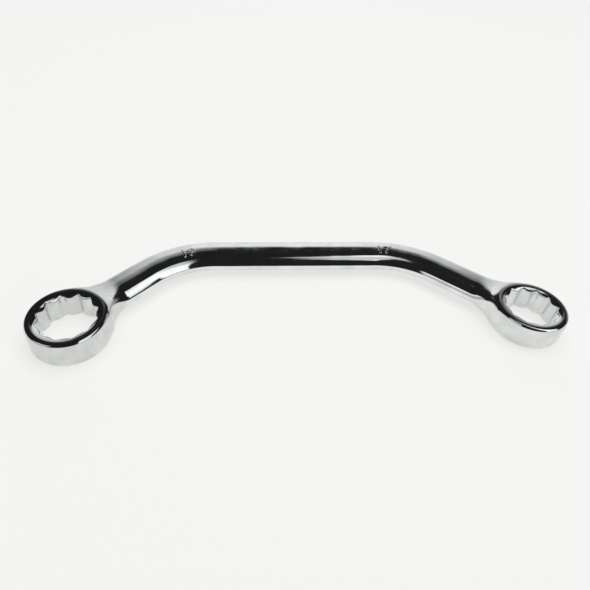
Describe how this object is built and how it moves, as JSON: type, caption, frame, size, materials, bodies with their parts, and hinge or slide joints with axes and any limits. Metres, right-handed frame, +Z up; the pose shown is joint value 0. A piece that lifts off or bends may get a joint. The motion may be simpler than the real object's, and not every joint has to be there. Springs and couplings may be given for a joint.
{
  "type": "obstruction spanner",
  "caption": "Half-moon obstruction ring spanner: bi-hexagon ring heads on angled arms, joined by a straight oval grip in the same plane, polished chrome plate.",
  "frame": {"origin": "under the middle of the tool's box, on the surface that it lies on", "axes": "+X along the tool from the 19 mm ring to the 17 mm ring, +Y from the rings towards the grip, +Z up along the socket axes"},
  "size_m": [0.2008, 0.0598, 0.0108],
  "materials": {
    "chrome_plate": "polished"
  },
  "bodies": {
    "root": {"large_ring_head": "chrome_plate", "large_arm": "chrome_plate", "grip_bar": "chrome_plate", "small_arm": "chrome_plate", "small_ring_head": "chrome_plate"}
  },
  "joints": []
}
